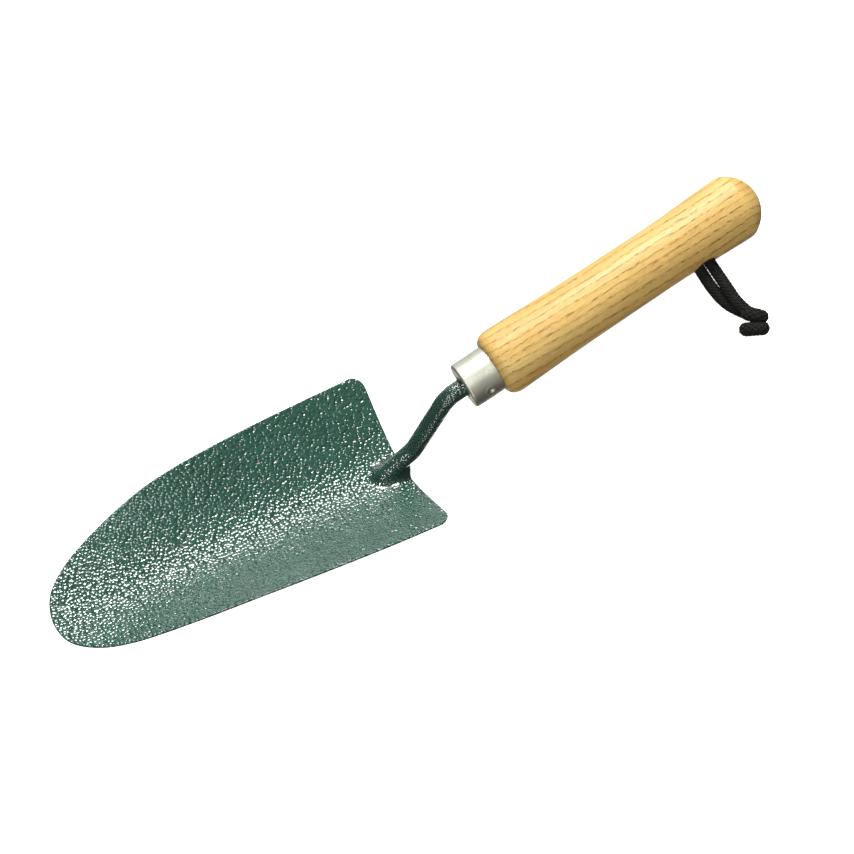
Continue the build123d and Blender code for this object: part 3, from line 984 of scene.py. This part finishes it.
# ------------------------------------------------------------------ ferrule
def build_ferrule():
    r0, ri = FER_D / 2, FER_D / 2 - FER_WALL
    prof = []

    def arc_(cx, cr, r, a0, a1, n):
        for a in np.linspace(a0, a1, n):
            prof.append((cx + r * math.cos(math.radians(a)), cr + r * math.sin(math.radians(a))))

    # rolled lip of the hole, front face, edge radius, wall, rear rim, then back inside
    arc_(-FER_LEN + 0.35, FER_HOLE_D / 2 + 0.35, 0.35, 270, 180, 6)
    for r in np.linspace(FER_HOLE_D / 2 + 0.7, r0 - FER_EDGE_R - 0.15, 10):
        prof.append((-FER_LEN, r))
    arc_(-FER_LEN + FER_EDGE_R, r0 - FER_EDGE_R, FER_EDGE_R, 180, 90, 14)
    for x in np.linspace(-FER_LEN + FER_EDGE_R + 0.25, -0.30, 40):
        prof.append((x, r0))
    arc_(-0.25, r0 - 0.25, 0.25, 75, 0, 5)
    prof.append((0.0, ri + 0.05))
    for x in np.linspace(-0.1, -FER_LEN + FER_FACE + 0.6, 14):
        prof.append((x, ri))
    prof.append((-FER_LEN + FER_FACE, ri - 0.6))
    prof.append((-FER_LEN + FER_FACE, FER_HOLE_D / 2 + 0.2))
    around = 224
    v, f = lathe(prof, around)
    n = len(prof)
    loop_to_start(f, 0, (n - 1) * around, around)
    # the dimple, pressed in, with a soft lip
    a = math.radians(DIMPLE_ANGLE)
    axis = np.array([0.0, -math.sin(a), math.cos(a)])
    r = np.linalg.norm(v[:, 1:], axis=1)
    outn = np.where(r[:, None] > 1e-6, np.concatenate([np.zeros((len(v), 1)), v[:, 1:] / np.maximum(r, 1e-6)[:, None]], 1), 0)
    arcl = np.arccos(np.clip(outn @ axis, -1, 1)) * r0
    d = np.hypot(v[:, 0] - DIMPLE_X, arcl) / (DIMPLE_D / 2)
    wall = r > ri - 0.2
    push = -DIMPLE_DEPTH * 1.15 * np.exp(-((d / 0.78) ** 4)) + 0.10 * np.exp(-(((d - 1.25) / 0.22) ** 2))
    push[~wall | (v[:, 0] < -FER_LEN + FER_EDGE_R)] = 0
    # faint dents and out-of-round, as a drawn cap has
    th = np.arctan2(v[:, 2], v[:, 1])
    push = push + 0.035 * np.sin(2 * th + 0.6) * (r > ri - 0.2) + 0.02 * np.sin(3 * th + v[:, 0] * 0.5) * (r > ri - 0.2)
    v = v + outn * push[:, None]
    return place(v), f


v, f = build_ferrule()
ferrule = make("ferrule_zinc", v, f, ZINC, ["ferrule"], sharp=50)


# ------------------------------------------------------------------ handle
def handle_profile():
    prof = [(-SPIGOT_LEN, 0.0), (-SPIGOT_LEN, TANG_HOLE_D / 2 + 0.3), (-SPIGOT_LEN, SPIGOT_R - 0.6),
            (-SPIGOT_LEN + 0.6, SPIGOT_R)]
    prof += [(x, SPIGOT_R) for x in np.linspace(-SPIGOT_LEN + 1.5, -0.02, 12)]
    nose = np.array([(0.0, 9.9), (0.04, 10.7), (0.75, 12.24), (2.9, 13.64), (7.0, 14.08)])
    s = np.concatenate([[0], np.cumsum(np.linalg.norm(np.diff(nose, axis=0), axis=1))])
    nose = Curve(s, nose)(np.linspace(0, s[-1], 22))
    prof += [(0.0, SPIGOT_R + 0.2)] + [tuple(x) for x in nose]
    body = Curve(*zip(*HANDLE_PROFILE))
    prof += [(x, float(body(x))) for x in np.linspace(7.6, 116.4, 180)]
    # the edge between the barrel and the dome, just broken with sandpaper
    prof += [(117.3, 14.08), (118.0, 14.03), (118.4, 13.97), (118.68, 13.88)]
    a0 = math.asin((118.9 - DOME_C) / DOME_R)
    prof += [(DOME_C + DOME_R * math.sin(a), DOME_R * math.cos(a)) for a in np.linspace(a0, math.pi / 2, 44)[:-1]]
    prof += [(HANDLE_END, 0.0)]
    return prof


def cutter(profile, around, origin, axis, name):
    """A turned solid about an axis, for cutting."""
    v, f = lathe(profile, around)
    z = np.array(axis, float)
    xdir = np.array([1.0, 0.0, 0.0])
    if abs(z @ xdir) > 0.9:
        xdir = np.array([0.0, 1.0, 0.0])
    a = np.cross(z, xdir)
    a /= np.linalg.norm(a)
    b = np.cross(z, a)
    p = np.array(origin) + v[:, :1] * z + v[:, 1:2] * a + v[:, 2:3] * b
    mesh = bpy.data.meshes.new(name)
    mesh.from_pydata((place(p) * MM).tolist(), [], f)
    mesh.update()
    o = bpy.data.objects.new(name, mesh)
    scene.collection.objects.link(o)
    return o


v, f = lathe(handle_profile(), 176)
handle = make("handle_turned", place(v), f, ASH, ["handle"])
flare = [(t, 4.7 + 0.24 * max(0.0, t - 11.1) ** 2) for t in np.linspace(11.1, 16.4, 16)]
far = [(t, 4.7 + 0.10 * max(0.0, -t - 12.6) ** 2) for t in np.linspace(-16.4, -12.6, 10)]
hole_prof = [(-16.4, 0.0)] + far + [(x, 4.7) for x in np.linspace(-11.5, 10.5, 12)] + flare + [(16.4, 0.0)]
cut_hole = cutter(hole_prof, 72, (HOLE_X, 0, HOLE_Z), HOLE_DIR, "cut_hole")
tang_prof = [(-SPIGOT_LEN - 2, 0.0), (-SPIGOT_LEN - 2, TANG_HOLE_D / 2), (TANG_END_X + 1.0, TANG_HOLE_D / 2),
             (TANG_END_X + 1.0, 0.0)]
cut_tang = cutter(tang_prof, 48, (0, 0, 0), (1, 0, 0), "cut_tang")
for c in (cut_hole, cut_tang):
    mod = handle.modifiers.new("cut", "BOOLEAN")
    mod.operation, mod.solver, mod.object = "DIFFERENCE", "EXACT", c
bake_modifiers(handle)
for c in (cut_hole, cut_tang):
    bpy.data.objects.remove(c)
finish_piece(handle, ASH, sharp=38)

# ------------------------------------------------------------------ floor, light, view
floor_mesh = bpy.data.meshes.new("floor")
side = 4.0
floor_mesh.from_pydata([(-side, -side, 0), (side, -side, 0), (side, side, 0), (-side, side, 0)], [], [(0, 1, 2, 3)])
floor = bpy.data.objects.new("floor", floor_mesh)
floor.location.z = -0.0002
scene.collection.objects.link(floor)
floor_mesh.materials.append(floor_material())
floor.visible_diffuse = False
floor.visible_glossy = False
floor.visible_shadow = False

world = bpy.data.worlds.new("studio")
world.use_nodes = True
scene.world = world
wt = world.node_tree
bg = wt.nodes["Background"]
tc = wt.nodes.new("ShaderNodeTexCoord")


def glow(direction, full, none, amount):
    """A soft patch of light in the sky: all of it within one angle of a direction, none of it past another."""
    d = Vector(direction).normalized()
    c = vec_math(wt, "DOT_PRODUCT", vec_math(wt, "NORMALIZE", tc.outputs["Generated"]), tuple(d))
    return map_range(wt, c, math.cos(math.radians(none)), math.cos(math.radians(full)), 0.0, amount, smooth=True)


sx = wt.nodes.new("ShaderNodeSeparateXYZ")
wt.links.new(tc.outputs["Generated"], sx.inputs[0])
sky = map_range(wt, sx.outputs[2], -0.35, 0.10, 0.06, 0.10, smooth=True)
for part in (glow((-0.20, -0.42, 0.88), 15, 62, 0.12), glow((0.28, 0.96, -0.02), 10, 40, 0.80), glow((0.05, 0.42, -0.90), 14, 40, 1.5)):
    sky = math_node(wt, "ADD", sky, part)
wt.links.new(sky, bg.inputs["Strength"])
bg.inputs["Color"].default_value = (1.0, 1.0, 0.985, 1.0)


def area_light(name, direction, distance, size, size_y, power, color=(1, 1, 1), roll=0.0):
    d = bpy.data.lights.new(name, "AREA")
    d.shape = "RECTANGLE"
    d.size, d.size_y, d.energy, d.color = size, size_y, power, color
    o = bpy.data.objects.new(name, d)
    scene.collection.objects.link(o)
    n = Vector(direction).normalized()
    o.location = n * distance
    # the long side lies along world X as nearly as it can
    z = n
    x = (Vector((math.cos(roll), math.sin(roll), 0)) - z * z.dot(Vector((math.cos(roll), math.sin(roll), 0)))).normalized()
    y = z.cross(x)
    o.matrix_world = Matrix.Translation(n * distance) @ Matrix((x, y, z)).transposed().to_4x4()
    return o


area_light("key", (0.44, 0.46, 0.77), 1.30, 0.70, 0.40, 23.0, (1.0, 0.995, 0.98))
area_light("over", (-0.10, -0.46, 0.88), 1.50, 0.36, 0.30, 8.0, (1.0, 1.0, 1.0))
area_light("front", (-0.42, -0.88, 0.20), 1.60, 0.7, 0.4, 6.0, (1.0, 0.93, 0.80))

scene.view_settings.view_transform = "Standard"
scene.view_settings.look = "None"
scene.view_settings.exposure = 0.0
scene.view_settings.gamma = 1.0
